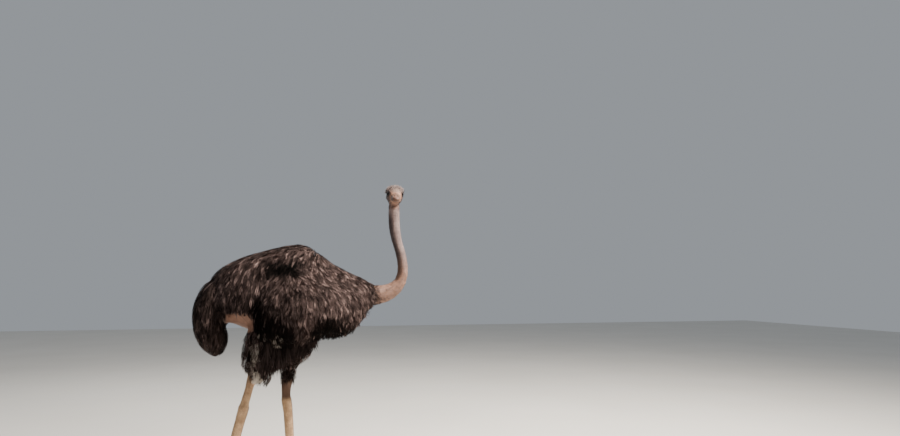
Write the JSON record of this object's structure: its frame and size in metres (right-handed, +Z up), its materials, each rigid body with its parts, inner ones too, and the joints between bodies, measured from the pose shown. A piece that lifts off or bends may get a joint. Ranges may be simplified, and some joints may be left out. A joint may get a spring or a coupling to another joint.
{
  "type": "ostrich model",
  "caption": "Life-size still ostrich standing with drooped wings and tail, neck bent low then upright, head turned to its right side.",
  "frame": {"origin": "on the floor under the middle of the bird's plan, soles at Z = 0", "axes": "+X the way the body faces, +Y towards the bird's left, +Z up; the head is turned towards -Y"},
  "size_m": [1.4312, 0.7816, 1.9703],
  "materials": {
    "plumage": "matt dark brown plumes with paler fringes",
    "tail_plumage": "matt near-black plumes",
    "neck_skin": "pinkish grey skin under sparse down",
    "leg_skin": "bare, finely creased skin",
    "scaled_skin": "scaled skin with broad front scutes",
    "bill_horn": "smooth horn, slightly glossy",
    "claw_horn": "dark worn horn",
    "eye": "wet gloss, dark brown"
  },
  "bodies": {
    "root": {"head": "neck_skin", "bill_upper": "bill_horn", "bill_lower": "bill_horn", "eye_right": "eye", "eye_left": "eye", "neck_upper": "neck_skin", "neck_middle": "neck_skin", "neck_lower": "neck_skin", "neck_base": "neck_skin", "trunk": "plumage", "wing_right": "plumage", "wing_left": "plumage", "tail": "tail_plumage", "thigh_right": "plumage", "thigh_left": "plumage", "shank_right": "leg_skin", "shank_left": "leg_skin", "tarsus_right": "scaled_skin", "tarsus_left": "scaled_skin", "toe_big_right": "scaled_skin", "toe_big_left": "scaled_skin", "toe_side_right": "scaled_skin", "toe_side_left": "scaled_skin", "claw_right": "claw_horn", "claw_left": "claw_horn"}
  },
  "joints": []
}
